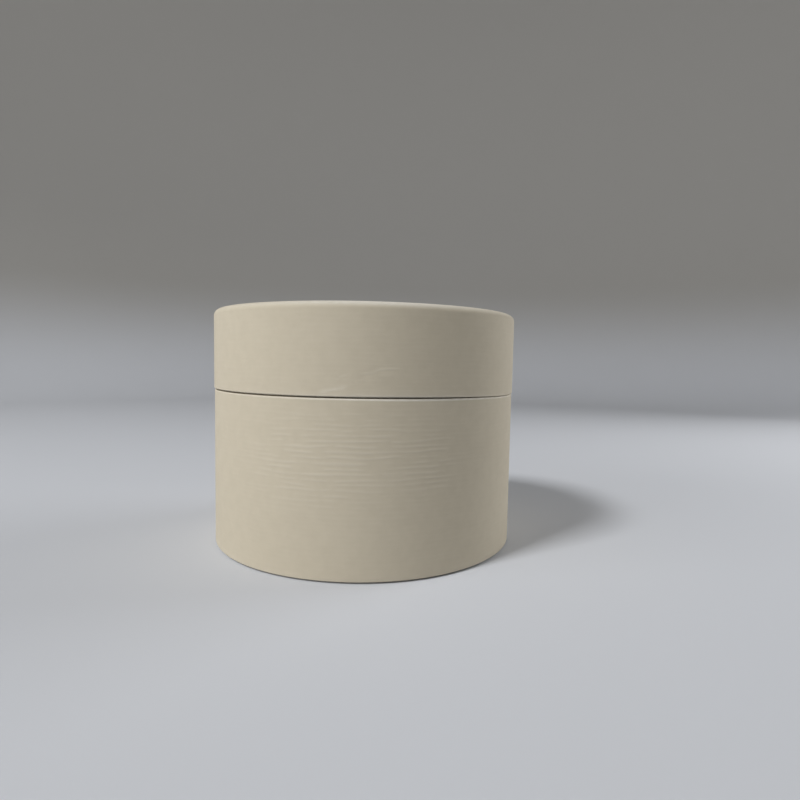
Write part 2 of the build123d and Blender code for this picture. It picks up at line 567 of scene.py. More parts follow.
@dataclass(frozen=True)
class EdgeDip:
    """A stretch of an edge where the paper hangs low, is worn thin or, with a depth below 0, is drawn up."""

    angle: float  # degrees
    wide: float  # degrees from its middle to where about a third of it is left
    depth: float

    def lift(self, angle: Array, share: Array) -> Array:
        """Works out the lift: minus the depth, times each row's share and a bell of each column's angle."""
        off = turned(angle, self.angle) / self.wide
        return -self.depth * share[:, None] * np.exp(-(off**2))[None, :]


@dataclass(frozen=True)
class RubAndHighlightBand:
    """How far an edge is painted paler, partly as wear and partly as painted highlight: a little all round,
    and most at one side.
    """

    angle: float  # degrees
    wide: float
    least: float = 0.2
    deep: float = 0.4  # how far in from the outside it is painted paler
    fade: float = 0.15  # over which the paler colour starts

    def at(self, angle: Array) -> Array:
        """Works out the paler share of each column: the least, plus the rest times a bell of its angle."""
        return self.least + (1 - self.least) * np.exp(-((turned(angle, self.angle) / self.wide) ** 2))

    def outer(self, radius: Array, outer_r: float) -> Array:
        """Works out the share of the paler colour that each row gets, from its radius and the outside's."""
        return smooth_step(radius, outer_r - self.deep, outer_r - self.deep + self.fade)


@dataclass(frozen=True)
class Crease:
    """A faint crease that a knock left in the paper: a low ridge in a shallow hollow, its top paler with wear
    and painted highlight.
    """

    angles: tuple[float, ...]  # degrees, at its bends
    heights: tuple[float, ...]
    depth: float = 0.045
    width: float = 0.3
    # share of the pale colour on the ridge's top: wear, and painted highlight where it faces the light
    rub_and_highlight: float = 0.1
    hollow: float = 3.0  # the hollow's width, in widths of the ridge
    end_shares: Pair = (1 / 6, 1 / 5)  # of its run, over which it fades in and out

    def bell(self, angle: Array, height: Array, widths: float = 1.0) -> Array:
        """Works out a bell across the crease, which fades in and out over the line's ends.

        Args:
            angle: Angles of the columns, in degrees.
            height: Heights of the rows.
            widths: The bell's width, in widths of the crease.

        Returns:
            The bell, from 0 to 1, rows by columns.
        """
        line = np.interp(turned(angle), self.angles, self.heights)
        share = (turned(angle) - self.angles[0]) / (self.angles[-1] - self.angles[0])
        fade = smooth_step(share, 0, self.end_shares[0]) * smooth_step(share, 1, 1 - self.end_shares[1])
        over = (height[:, None] - line[None, :]) / (self.width * widths)
        return np.exp(-(over**2)) * fade[None, :]

    def relief(self, angle: Array, height: Array) -> Array:
        """Works out the relief: the ridge's bell less the hollow's, so the ridge stays on the surface."""
        return self.depth * (self.bell(angle, height) - self.bell(angle, height, self.hollow))


# Sections and surfaces


@dataclass(frozen=True)
class Section:
    """A closed outline in radius and height, with what each of its points needs."""

    radius: Array
    height: Array
    normal: Array  # outward, as radius and height
    share: Array  # of the ribs' depth
    path: Array  # distance along the outline from its start

    def face(self) -> Array:
        """Marks the rows of the plain wall, as a column."""
        return (self.share == Zone.FACE.value)[:, None]


@dataclass
class Outline:
    """Collects the runs of a closed outline. The piece lies on the left of the way round."""

    start: Pair
    runs: list[tuple[Array, Zone]] = field(default_factory=list)

    def keep(self, run: Array, zone: Zone) -> Outline:
        """Adds the points of a run, which all belong to one zone, and gives the outline for the next."""
        self.runs.append((run, zone))
        return self

    def line(self, end: Pair, rows: int, zone: Zone = Zone.HIDDEN) -> Outline:
        """Adds a straight run, in a number of rows, that ends at a radius and height."""
        begin = self.runs[-1][0][-1] if self.runs else np.array(self.start)
        return self.keep(begin + (np.array(end) - begin) * np.linspace(0, 1, rows + 1)[1:, None], zone)

    def arc(
        self, centre: Pair, radius: float, start: float, stop: float, rows: int, zone: Zone = Zone.HIDDEN
    ) -> Outline:
        """Adds a round run: the centre plus the radius times the cosine and sine of an angle in degrees."""
        angle = np.radians(np.linspace(start, stop, rows + 1)[1:])
        return self.keep(np.array(centre) + radius * np.stack((np.cos(angle), np.sin(angle)), axis=1), zone)

    def close(self) -> Section:
        """Closes the outline. The normal is the way between a point's neighbours, turned a quarter right.

        Returns:
            The section.
        """
        points = np.concatenate([[self.start], *(run for run, _ in self.runs)])
        shares = [np.full(len(run), zone.value) for run, zone in self.runs]
        share = np.concatenate([[Zone.HIDDEN.value], *shares])
        if np.allclose(points[0], points[-1]):
            points, share = points[:-1], share[:-1]
        way = np.roll(points, -1, axis=0) - np.roll(points, 1, axis=0)
        way /= np.linalg.norm(way, axis=1, keepdims=True)
        normal = np.stack((way[:, 1], -way[:, 0]), axis=1)
        steps = np.linalg.norm(np.diff(points, axis=0), axis=1)
        path = np.concatenate([[0.0], np.cumsum(steps)])
        return Section(points[:, 0], points[:, 1], normal, share, path)


@dataclass(frozen=True)
class Columns:
    """Angles of a surface's columns. Columns of one strip are joined, and strips weld where they touch."""

    angle: Array  # radians
    strip: Array
    across: Array  # place in the strip, from -1 to 1

    @classmethod
    def make(cls, strips: int, steps: int, cut_deg: float) -> Columns:
        """Spaces columns evenly in equal strips, and adds a close pair where the paper's cut edge is.

        Args:
            strips: Number of strips in the turn.
            steps: Steps in each strip.
            cut_deg: Angle of the cut edge, in degrees.

        Returns:
            The columns, from 0 to a whole turn.
        """
        span = 360 / strips
        strip = np.repeat(np.arange(strips), steps + 1)
        angle = strip * span + np.tile(np.linspace(0, span, steps + 1), strips)
        nearest = np.argmin(np.abs(angle - cut_deg))
        angle = np.insert(np.delete(angle, nearest), nearest, (cut_deg, cut_deg + CUT_GAP_DEG))
        strip = np.insert(strip, nearest, strip[nearest])
        across = (angle - (strip + 0.5) * span) / (span / 2)
        return cls(np.radians(angle), strip, across)


def grid_faces(rows: int, strip: Array) -> Array:
    """Joins a grid of points into quads that face outwards. The last row joins the first.

    Args:
        rows: Number of rows.
        strip: The strip of each column.

    Returns:
        Four point numbers for each quad.
    """
    index = np.arange(rows * strip.size).reshape(rows, strip.size)
    above = np.roll(index, -1, axis=0)
    left = np.flatnonzero(strip[:-1] == strip[1:])
    corners = (index[:, left], index[:, left + 1], above[:, left + 1], above[:, left])
    return np.stack(corners, axis=-1).reshape(-1, 4)


def make_piece(name: str, points: Array, sheet: Array, faces: Array, marks: dict[str, Array]) -> Object:
    """Puts a surface into a mesh, welds what coincides and keeps its hard edges.

    Args:
        name: The piece's name.
        points: Places in millimetres, rows by columns by 3.
        sheet: Places on the flat sheet in millimetres, rows by columns by 2.
        faces: Four point numbers for each quad.
        marks: A number at each point for each attribute that the material reads.

    Returns:
        The new object, at the origin.
    """
    mesh = bpy.data.meshes.new(name)
    mesh.from_pydata(points.reshape(-1, 3) * MM, [], faces.tolist())
    layer = mesh.uv_layers.new(name="sheet")
    layer.data.foreach_set("uv", sheet.reshape(-1, 2)[faces.ravel()].ravel())
    for mark, values in marks.items():
        attribute = mesh.attributes.new(mark, "FLOAT", "POINT")
        attribute.data.foreach_set("value", np.ravel(values).astype(np.float32))
    welded = bmesh.new()
    welded.from_mesh(mesh)
    bmesh.ops.remove_doubles(welded, verts=welded.verts, dist=WELD)
    welded.to_mesh(mesh)
    welded.free()
    mesh.shade_smooth()
    mesh.set_sharp_from_angle(angle=CREASE_ANGLE)
    piece = bpy.data.objects.new(name, mesh)
    bpy.context.scene.collection.objects.link(piece)
    return piece


def dress(piece: Object, node: str, body: Body, material: Material) -> None:
    """Gives a new piece its material and body, and hides the CAD node that it stands for.

    Args:
        piece: The new piece.
        node: The CAD node.
        body: The body that it rides on.
        material: Its material.
    """
    piece.data.materials.append(material)
    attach(piece, body.value)
    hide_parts(node)
    low, high = (np.array(corner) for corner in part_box(node))
    corners = np.array([corner[:] for corner in piece.bound_box])
    over = max((low - corners.min(axis=0)).max(), (corners.max(axis=0) - high).max(), 0) / MM
    LOG.info("%s: %d faces, %.3f mm past its node's box", piece.name, len(piece.data.polygons), over)


def dress_node(name: str, material: Material) -> None:
    """Gives a CAD node that stays its material.

    Args:
        name: The node.
        material: Its material.
    """
    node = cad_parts[name]
    for slot in node.material_slots:
        slot.material = material
    LOG.info("%s: %s on %d slots", name, material.name, len(node.material_slots))


@dataclass(frozen=True)
class PaperTube:
    """A paper that goes round the axis, with its own section, lap seam and ribs."""

    name: str
    section: Section
    columns: Columns
    embossing: Embossing
    rib_depth: float
    lap: Pair  # its width, and its height at the cut edge
    lap_ends: Pair  # lowest and highest level of the pressed lap
    cut_deg: float
    sheet_shift: float = 0.0  # where on the sheet the paper was cut
    level: float = 0.0  # height of the ribs, from 0 to 1, that lies on the section
    crest_share: float = 1.0  # of the crests' paler shade
    lap_fade: float = 0.8  # height over which the pressed lap ends
    cut_rub: float = 0.5  # how far the lap's cut edge is worn pale, and the width over which that falls off
    cut_rub_w: float = 0.4

    def along(self) -> Array:
        """Distance round the tube from the cut edge, for each column."""
        start = math.radians(self.cut_deg + CUT_INSIDE_DEG)
        return ((self.columns.angle - start) % math.tau) * self.section.radius.max()

    def to_edge(self) -> Array:
        """Distance round the tube from each column on to the cut edge."""
        return math.tau * self.section.radius.max() - self.along()

    def lap_relief(self) -> Array:
        """Works out the lap: it rises slowly round the tube and drops off at the cut edge.

        Returns:
            The relief, rows by columns.
        """
        width, proud = self.lap
        low, high = self.lap_ends
        rise = proud * smooth_step(self.to_edge(), width, 0)
        height = self.section.height[:, None]
        ends = smooth_step(height, low, low + self.lap_fade)
        ends = ends * smooth_step(height, high, high - self.lap_fade)
        return ends * self.section.face() * rise[None, :]

    def edge_rub(self) -> Array:
        """Works out how far the lap's cut edge is worn pale: e to the minus distance over the wear's width.
        """
        return self.section.face() * self.cut_rub * np.exp(-self.to_edge() / self.cut_rub_w)[None, :]

    def ribs(self, strength: float | Array) -> Array:
        """Reads the ribs' height over the tube, from 0 to 1, times a strength for each point."""
        along, path = np.meshgrid(self.along(), self.section.path)
        return self.embossing.at(along + self.sheet_shift, path + self.sheet_shift) * strength

    def build(
        self,
        ribs: float | Array,
        extra: Array,
        rub_and_highlight: float | Array,
        pull: float | Array = 0.0,
        lift: float | Array = 0.0,
        more_faces: tuple[Array, ...] = (),
    ) -> Object:
        """Turns the section round the axis.

        A point lies at its column's angle less its pull, at its row's radius plus the relief times the
        normal's radius part, and at its row's height plus its lift and the relief times the normal's height
        part.

        Args:
            ribs: The ribs' height at each point, from 0 to 1.
            extra: Other relief along the normal.
            rub_and_highlight: How far each point is painted paler, as wear and as painted highlight, from 0
                to 1.
            pull: Angle, in radians, that each point is moved back by.
            lift: What each point is moved up by.
            more_faces: Quads beside those of the grid, as point numbers.

        Returns:
            The new object.
        """
        section, columns = self.section, self.columns
        relief = self.rib_depth * section.share[:, None] * (ribs - self.level) + extra
        angle = columns.angle[None, :] - pull
        radius = section.radius[:, None] + section.normal[:, :1] * relief
        height = section.height[:, None] + section.normal[:, 1:] * relief + lift
        points = np.stack((radius * np.cos(angle), radius * np.sin(angle), height), axis=-1)
        sheet = np.stack(np.meshgrid(self.along(), section.path), axis=-1)
        faces = np.concatenate((grid_faces(section.radius.size, columns.strip), *more_faces))
        crest = np.broadcast_to(ribs * self.crest_share, radius.shape)
        # share of the pale colour: wear, and painted highlight on folds and the crown
        marks = {"crest": crest, "rub_and_highlight": np.clip(rub_and_highlight + self.edge_rub(), 0, 1)}
        return make_piece(self.name, points, sheet, faces, marks)


@dataclass(frozen=True)
class PaperDisc:
    """A paper disc with its ribs straight across it, built of chords that lie along the ribs."""

    name: str
    radius: float
    low: float
    high: float
    shown: Side
    turn_deg: float  # of the ribs, from +X
    rib_depth: float
    embossing: Embossing
    rib_rows: int = 560
    fine: int = 96  # steps along a chord on the side that shows
    plain: int = 4  # and on the other side

    def build(self) -> Object:
        """Works out the disc and puts it into a mesh.

        Half the length of a chord at the distance v from the middle is the root of the radius squared less v
        squared. A point lies along it at a share u of that half, from 1 to -1 on the top and back below.
        Then all points turn together. The disc is cut from the middle of the sheet.

        Returns:
            The new object.
        """
        top, under = (self.fine, self.plain) if self.shown is Side.TOP else (self.plain, self.fine)
        u = np.concatenate((np.linspace(1, -1, top + 1), np.linspace(-1, 1, under + 1)))[:, None]
        side = np.concatenate((np.ones(top + 1), -np.ones(under + 1)))[:, None]
        v = np.linspace(-self.radius, self.radius, self.rib_rows)[None, :]
        x = u * np.sqrt(np.clip(self.radius**2 - v**2, 0, None))
        y = np.broadcast_to(v, x.shape)
        length, width = self.embossing.size
        ribs = self.embossing.at(x + length / 2, y + width / 2)
        relief = np.where(side == self.shown.value, self.rib_depth * (ribs - 1), 0)
        z = np.where(side > 0, self.high, self.low) + side * relief
        cos, sin = math.cos(math.radians(self.turn_deg)), math.sin(math.radians(self.turn_deg))
        points = np.stack((x * cos - y * sin, x * sin + y * cos, z), axis=-1)
        faces = grid_faces(x.shape[0], np.zeros(x.shape[1]))
        marks = {"crest": ribs, "rub_and_highlight": np.zeros(x.shape)}
        return make_piece(self.name, points, np.stack((x, y), axis=-1), faces, marks)


# Sub-assemblies


@dataclass(frozen=True)
class Base:
    """The base: its outside paper with turned-in edges, the bottom paper, and the neck's lining."""

    embossing: Embossing
    outer_r: float = 40.0
    wall_t: float = 1.5
    wrap_t: float = 0.25
    lining_t: float = 0.15
    mouth_z: float = 39.75
    edge_r: float = 0.1  # rounding of the board's lower corner
    turn_in_r: float = 31.65
    turn_in_rows: int = 7
    wall_rows: int = 226
    corner_rows: int = 10  # round the lower corner
    fold_rows: int = 5  # round each fold
    notch_tip_r: float = 38.65
    notch_w: float = 2.0
    notches: int = 24
    notch_steps: int = 14  # columns' steps between two notches
    bottom_r: float = 38.05
    floor_z: float = 2.0
    bore_r: float = 36.75  # board's bore in the neck
    neck_r: float = 38.25
    neck_board_z: float = 55.15
    lap: Pair = (8.0, 0.12)
    lap_ends: Pair = (2.0, 39.15)
    cut_deg: float = 97.0
    lining_lap: Pair = (6.0, 0.06)
    lining_cut_deg: float = 68.0
    lining_steps: int = 300
    lining_rows: tuple[int, int] = (30, 60)  # outside and inside
    slack_seed: int = 71  # of the clouds where the lining lies less tight
    slack_grain: float = 22.0
    slack_depth: float = 0.02
    slack_levels: Pair = (-1.5, 0.5)  # least and most of it that shows
    rib_depth: float = 0.05
    bottom_rib_depth: float = 0.02
    plain_depth: float = 0.2  # share of the ribs' depth away from the deep patches
    deep: tuple[DeepPatch, ...] = (
        DeepPatch(-93.0, 26.0, 34.0, 10.0),
        DeepPatch(12.0, 19.0, 30.0, 10.0, 0.6),
        DeepPatch(70.0, 29.0, 34.0, 9.0, 0.8),
        DeepPatch(131.0, 14.0, 30.0, 11.0, 0.7),
        DeepPatch(172.0, 31.0, 20.0, 7.0, 0.5),
    )
    dips: tuple[EdgeDip, ...] = (EdgeDip(-118.0, 50.0, 0.13), EdgeDip(-30.0, 20.0, 0.2))  # at the mouth
    dip_reach: float = 1.5  # how far below the mouth they start
    dip_rim: Pair = (0.35, 1.05)  # how far from the neck they start and are whole
    worn: tuple[EdgeDip, ...] = (EdgeDip(-90.0, 80.0, 0.08), EdgeDip(-40.0, 20.0, 0.14))  # at the foot
    worn_z: float = 0.35  # height over which the wear falls off
    worn_w: float = 0.6  # how far out from the notches' tips it is whole
    # band of pale colour round the mouth: wear all round, and painted highlight on the fold, strongest at the
    # front
    rub_and_highlight_band: RubAndHighlightBand = RubAndHighlightBand(-68.0, 42.0)
    rub_and_highlight_reach: Pair = (0.3, 0.2)  # how far below the mouth the pale colour of wear and painted highlight reaches, and how much further at most
    foot_rub: float = 0.3
    foot_rub_z: float = 0.5

    def wrap_section(self) -> Section:
        """Outlines the outside paper: from the turned-in edge out, up the wall, over the mouth and back.

        Returns:
            The section.
        """
        board_r = self.outer_r - self.wrap_t
        round_r = board_r - self.edge_r
        bore_r = board_r - self.wall_t
        low, up = self.wrap_t, 2 * self.wrap_t
        fold_z, corner_z = self.mouth_z - self.wrap_t, up + self.edge_r
        outline = Outline((self.turn_in_r, low))
        outline.line((self.notch_tip_r, low), self.turn_in_rows, Zone.FOLD)
        outline.line((round_r, low), 2, Zone.FOLD)
        outline.arc((round_r, corner_z), self.edge_r + self.wrap_t, -90, 0, self.corner_rows, Zone.ROLL)
        outline.line((self.outer_r, fold_z), self.wall_rows, Zone.FACE)
        outline.arc((board_r, fold_z), self.wrap_t, 0, 90, self.fold_rows, Zone.FOLD)
        outline.line((bore_r, self.mouth_z), 3).line((bore_r, fold_z), 1)
        outline.line((board_r, fold_z), 2).line((board_r, corner_z), 4)
        outline.arc((round_r, corner_z), self.edge_r, 0, -90, 6)
        outline.line((self.notch_tip_r, up), 2).line((self.turn_in_r, up), self.turn_in_rows)
        return outline.close()

    def notch_pull(self, tube: PaperTube) -> Array:
        """Opens the notches: each strip narrows towards the paper's inner edge, evenly from its middle out.

        Half a notch's width grows from 0 at its tip to its full half at the inner edge. Over the radius it
        is an angle.

        Args:
            tube: The outside paper.

        Returns:
            The angle that each point moves back by.
        """
        radius = tube.section.radius
        reach = np.clip((self.notch_tip_r - radius) / (self.notch_tip_r - self.turn_in_r), 0, 1)
        half = np.where(tube.section.height < self.floor_z, reach, 0) * self.notch_w / 2 / radius
        return half[:, None] * tube.columns.across[None, :]

    def notch_faces(self, tube: PaperTube) -> Array:
        """Closes the notches' cut sides: quads between the paper's two sides, on both edges of each strip.

        The section starts with the lower side of the turned-in paper and ends with its upper side.

        Args:
            tube: The outside paper.

        Returns:
            Four point numbers for each quad.
        """
        strip, width = tube.columns.strip, tube.columns.strip.size
        first = np.flatnonzero(np.diff(strip, prepend=-1) != 0)
        last = np.flatnonzero(np.diff(strip, append=-1) != 0)
        step = np.arange(self.turn_in_rows)[:, None] * width
        low, low_out = step, step + width
        up = (tube.section.radius.size - 1) * width - step
        up_out = up - width
        near = np.stack((low + first, low_out + first, up_out + first, up + first), axis=-1)
        far = np.stack((up + last, up_out + last, low_out + last, low + last), axis=-1)
        return np.concatenate((near, far)).reshape(-1, 4)

    def wrap(self) -> Object:
        """Builds the outside paper.

        The pale colour of wear and painted highlight is whole on the outer side of the mouth's fold, where it
        reaches further down where the band is strongest. From the foot up, the foot's paler wear and the worn
        edge's lift fall off as e to the minus height over a height of their own.

        Returns:
            The new object.
        """
        section = self.wrap_section()
        columns = Columns.make(self.notches, self.notch_steps, self.cut_deg)
        tube = PaperTube(
            "base_outside_paper", section, columns, self.embossing, self.rib_depth, self.lap, self.lap_ends,
            self.cut_deg,
        )
        height, radius = section.height, section.radius
        around = np.degrees(columns.angle)
        pressed = np.clip(sum(patch.at(around, height) for patch in self.deep), 0, 1)
        ribs = tube.ribs(self.plain_depth + (1 - self.plain_depth) * pressed)
        rub_and_highlight_around = self.rub_and_highlight_band.at(around)[None, :]
        rub_and_highlight_reach = self.mouth_z - self.rub_and_highlight_reach[0] - self.rub_and_highlight_reach[1] * rub_and_highlight_around
        mouth = smooth_step(height[:, None], rub_and_highlight_reach, rub_and_highlight_reach + self.rub_and_highlight_band.fade)
        mouth = mouth * self.rub_and_highlight_band.outer(radius, self.outer_r)[:, None]
        foot = np.exp(-height / self.foot_rub_z)[:, None]
        shown = section.share > Zone.HIDDEN.value
        wear = np.exp(-np.clip(height - self.wrap_t, 0, None) / self.worn_z) * shown
        wear = wear * smooth_step(radius, self.notch_tip_r, self.notch_tip_r + self.worn_w)
        extra = tube.lap_relief() + sum(dip.lift(around, wear) for dip in self.worn)
        low = smooth_step(height, self.mouth_z - self.dip_reach, self.mouth_z - self.wrap_t)
        low = low * smooth_step(radius, self.neck_r + self.dip_rim[0], self.neck_r + self.dip_rim[1])
        lift = sum(dip.lift(around, low) for dip in self.dips)
        # painted highlight on the mouth's fold, with wear, plus paler wear at the foot
        rub_and_highlight = mouth * rub_and_highlight_around + self.foot_rub * foot
        return tube.build(ribs, extra, rub_and_highlight, self.notch_pull(tube), lift, (self.notch_faces(tube),))

    def bottom_paper(self) -> Object:
        """Builds the paper disc under the bottom."""
        ribs = (Side.UNDERSIDE, 0, self.bottom_rib_depth, self.embossing)
        return PaperDisc("base_bottom_disc", self.bottom_r, 0, self.wrap_t, *ribs).build()

    def lining(self) -> Object:
        """Builds the neck's lining: up the bore, over the top edge and down outside to the base's mouth.

        Returns:
            The new object.
        """
        inner, outer = self.bore_r - self.lining_t, self.neck_r + self.lining_t
        board_z, t = self.neck_board_z, self.lining_t
        outline = Outline((inner, self.floor_z)).line((self.bore_r, self.floor_z), 1)
        outline.line((self.bore_r, board_z), 6).line((self.neck_r, board_z), 2)
        outline.line((self.neck_r, self.mouth_z), 3).line((outer, self.mouth_z), 1)
        outline.line((outer, board_z), self.lining_rows[0], Zone.FACE)
        outline.arc((self.neck_r, board_z), t, 0, 90, self.fold_rows, Zone.FOLD)
        outline.line((self.bore_r, board_z + t), 4, Zone.FOLD)
        outline.arc((self.bore_r, board_z), t, 90, 180, self.fold_rows, Zone.FOLD)
        outline.line((inner, self.floor_z), self.lining_rows[1], Zone.FACE)
        section = outline.close()
        columns = Columns.make(1, self.lining_steps, self.lining_cut_deg)
        tube = PaperTube(
            "neck_lining_paper", section, columns, self.embossing, 0.0, self.lining_lap,
            (self.floor_z, board_z), self.lining_cut_deg,
        )
        clouds = HeightSheet.clouds(self.slack_seed, self.slack_grain)
        slack = np.clip(clouds.at(*np.meshgrid(tube.along(), section.path)), *self.slack_levels)
        return tube.build(0.0, tube.lap_relief() + self.slack_depth * slack * section.share[:, None], 0.0)


@dataclass(frozen=True)
class Lid:
    """The lid: its outside paper, rolled in over the rim, and the paper disc in the recess."""

    embossing: Embossing
    outer_r: float = 40.15
    wrap_t: float = 0.25
    mouth_z: float = 40.0
    lining_r: float = 38.65  # where the turned-in paper meets the lining
    roll_r: float = 1.6  # outside of the paper on the roll
    roll_z: float = 58.4
    crown_w: float = 0.5
    leg: float = 1.2
    wall_rows: int = 150
    fold_rows: int = 5
    roll_rows: tuple[int, int] = (16, 14)  # round the roll's outer and inner quarters
    leg_rows: int = 5
    steps: int = 450
    disc_r: float = 38.8
    disc_turn_deg: float = 12.0
    disc_rib_depth: float = 0.03
    lap: Pair = (8.0, 0.12)
    lap_ends: Pair = (40.5, 58.1)
    cut_deg: float = 121.0
    sheet_shift: float = 37.0
    rib_depth: float = 0.036
    rib_share: float = 0.26  # of the depth, over the whole lid
    dips: tuple[EdgeDip, ...] = (EdgeDip(-30.0, 22.0, 0.29), EdgeDip(-80.0, 16.0, -0.05))  # at the mouth
    dip_reach: float = 2.5  # how far above the mouth they end
    # pale colour at the mouth's fold and the roll's crown, partly wear and partly painted highlight,
    # strongest at the front
    rub_and_highlight_band: RubAndHighlightBand = RubAndHighlightBand(-86.0, 34.0)
    mouth_rub_and_highlight: float = 0.6
    mouth_rub_and_highlight_z: float = 0.3  # height over which it falls off
    crown_rub_and_highlight: float = 0.9
    crown_rub_and_highlight_z: Pair = (0.2, 1.4)  # how far above the roll's middle it starts and is whole
    crimps: int = 84
    crimp_seed: int = 5
    crimp_off_shares: Pair = (-0.38, 0.38)  # of an even spacing, that a crimp may lie off its place
    crimp_depths: Pair = (0.015, 0.07)
    crimp_widths: Pair = (0.35, 0.6)
    crimp_starts: Pair = (-0.1, 0.9)  # past the crown, in radii of the roll
    crimp_growth: float = 0.5  # over which a crimp comes to its full depth, in radii of the roll
    creases: tuple[Crease, ...] = (
        Crease((-104.5, -99.5, -95.0), (40.9, 41.5, 42.2), 0.03, 0.42, 0.2),
        Crease((-99.5, -97.5, -95.0), (43.0, 44.2, 44.6)),
        Crease((-92.5, -88.0, -86.0, -79.5), (44.7, 45.1, 45.8, 46.1)),
        Crease((-94.0, -91.5, -88.0), (42.2, 43.3, 44.6), 0.05, 0.3, 0.0),
    )

    def wrap_section(self) -> Section:
        """Outlines the outside paper: from the turned-in edge out, up the wall, round the roll and back.

        Returns:
            The section.
        """
        t = self.wrap_t
        board_r, fold_z = self.outer_r - t, self.mouth_z + t
        out_x, in_x = self.outer_r - self.roll_r, self.outer_r - self.roll_r - self.crown_w
        leg_x, leg_z = in_x - self.roll_r, self.roll_z - self.leg
        outline = Outline((self.lining_r, self.mouth_z)).line((board_r, self.mouth_z), 3, Zone.FOLD)
        outline.arc((board_r, fold_z), t, -90, 0, self.fold_rows, Zone.FOLD)
        outline.line((self.outer_r, self.roll_z), self.wall_rows, Zone.FACE)
        outline.arc((out_x, self.roll_z), self.roll_r, 0, 90, self.roll_rows[0], Zone.ROLL)
        outline.line((in_x, self.roll_z + self.roll_r), 3, Zone.ROLL)
        outline.arc((in_x, self.roll_z), self.roll_r, 90, 180, self.roll_rows[1], Zone.ROLL)
        outline.line((leg_x, leg_z), self.leg_rows, Zone.ROLL)
        outline.line((leg_x + t, leg_z), 1).line((leg_x + t, self.roll_z), 1)
        outline.arc((in_x, self.roll_z), self.roll_r - t, 180, 90, 4)
        outline.line((out_x, self.roll_z + self.roll_r - t), 1)
        outline.arc((out_x, self.roll_z), self.roll_r - t, 90, 0, 4).line((board_r, fold_z), 3)
        outline.line((self.lining_r, fold_z), 2)
        return outline.close()

    def crimp_relief(self, tube: PaperTube) -> Array:
        """Works out the crimps that the paper takes up as it rolls in to a smaller radius.

        Each crimp is a narrow bell across the paper at its own angle. It starts at its own place past the
        crown, and deepens towards the leg.

        Args:
            tube: The outside paper.

        Returns:
            The relief, rows by columns.
        """
        section, angle = tube.section, tube.columns.angle
        draw = np.random.default_rng(self.crimp_seed)
        places = np.arange(self.crimps) + draw.uniform(*self.crimp_off_shares, self.crimps)
        depth = draw.uniform(*self.crimp_depths, self.crimps)
        width = draw.uniform(*self.crimp_widths, self.crimps)
        start = draw.uniform(*self.crimp_starts, self.crimps)
        in_x = self.outer_r - self.roll_r - self.crown_w
        inward = np.where(section.share == Zone.ROLL.value, (in_x - section.radius) / self.roll_r, 0)
        grown = smooth_step(inward[:, None], start, start + self.crimp_growth)
        away = (angle[:, None] - places * math.tau / self.crimps + math.pi) % math.tau - math.pi
        bell = np.exp(-((away * (in_x - self.roll_r) / width) ** 2))
        return -(grown * depth) @ bell.T

    def wrap(self) -> Object:
        """Builds the outside paper.

        The pale colour of wear and painted highlight falls off from the mouth as e to the minus distance over
        a height, on the outer side alone, and rises over the roll to its crown. Both follow the band round
        the lid.

        Returns:
            The new object.
        """
        section = self.wrap_section()
        columns = Columns.make(1, self.steps, self.cut_deg)
        tube = PaperTube(
            "lid_outside_paper", section, columns, self.embossing, self.rib_depth * self.rib_share, self.lap,
            self.lap_ends, self.cut_deg, self.sheet_shift, 1.0, self.rib_share,
        )
        height, radius = section.height, section.radius
        around = np.degrees(columns.angle)
        extra = tube.lap_relief() + self.crimp_relief(tube)
        mouth = np.exp(-np.abs(height - self.mouth_z) / self.mouth_rub_and_highlight_z)
        mouth = mouth * self.rub_and_highlight_band.outer(radius, self.outer_r)
        crown = smooth_step(height, self.roll_z + self.crown_rub_and_highlight_z[0], self.roll_z + self.crown_rub_and_highlight_z[1])
        # painted highlight on the mouth's fold and the crown, with wear, and on the creases' ridges
        rub_and_highlight = (self.mouth_rub_and_highlight * mouth + self.crown_rub_and_highlight * crown)[:, None] * self.rub_and_highlight_band.at(around)[None, :]
        for crease in self.creases:
            extra = extra + crease.relief(around, height) * section.face()
            rub_and_highlight = rub_and_highlight + crease.rub_and_highlight * crease.bell(around, height) * section.face()
        low = smooth_step(height, self.mouth_z + self.dip_reach, self.mouth_z)
        lift = sum(dip.lift(around, low) for dip in self.dips)
        return tube.build(tube.ribs(1.0), extra, rub_and_highlight, 0.0, lift)

    def top_paper(self) -> Object:
        """Builds the paper disc in the recess.

        Returns:
            The new object.
        """
        high = self.roll_z - self.leg
        ribs = (Side.TOP, self.disc_turn_deg, self.disc_rib_depth, self.embossing)
        return PaperDisc("lid_top_disc", self.disc_r, high - self.wrap_t, high, *ribs).build()


# Stage, camera and lights


